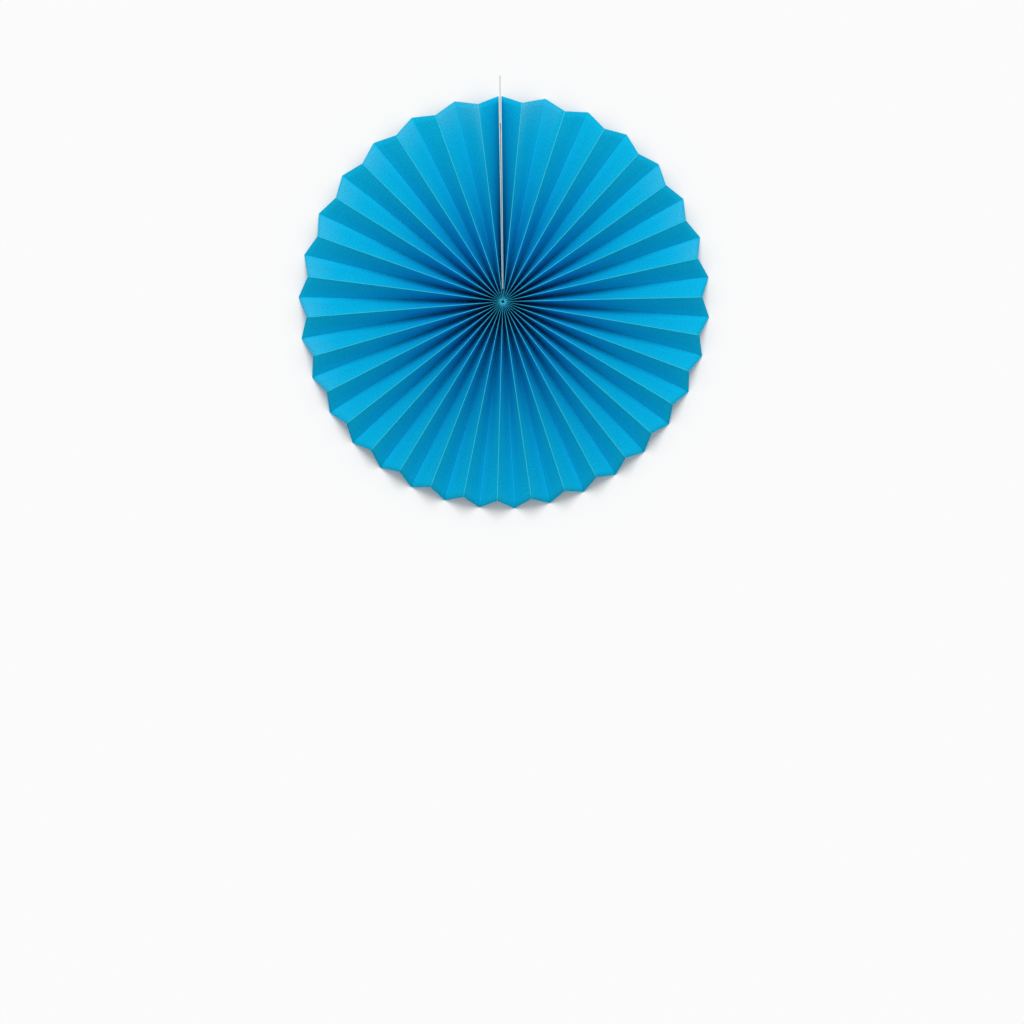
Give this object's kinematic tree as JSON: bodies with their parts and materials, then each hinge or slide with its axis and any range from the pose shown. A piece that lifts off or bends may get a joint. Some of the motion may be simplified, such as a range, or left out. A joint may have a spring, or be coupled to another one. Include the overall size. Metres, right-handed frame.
{
  "type": "paper fan rosette",
  "caption": "Round wall decoration of pleated blue paper, a creased strip opened into a full circle, closed by white card strips at its seam and hung from a short string.",
  "frame": {"origin": "middle of the hub, level with the back folds that the rosette lies on", "axes": "+Z out of the front face, +Y from the hub along the seam towards the hanging string"},
  "size_m": [0.3977, 0.4187, 0.025],
  "materials": {
    "blue_paper": "matt, lightly fibrous dyed paper",
    "white_card": "matt white board",
    "foam_tape": "matt white foam with adhesive faces",
    "thread": "twisted cotton",
    "string": "twisted cotton"
  },
  "bodies": {
    "root": {"pleated_paper": "blue_paper", "card_strip_left": "white_card", "card_strip_right": "white_card", "joining_tape": "foam_tape", "binding_thread": "thread", "hanging_string": "string"}
  },
  "joints": []
}
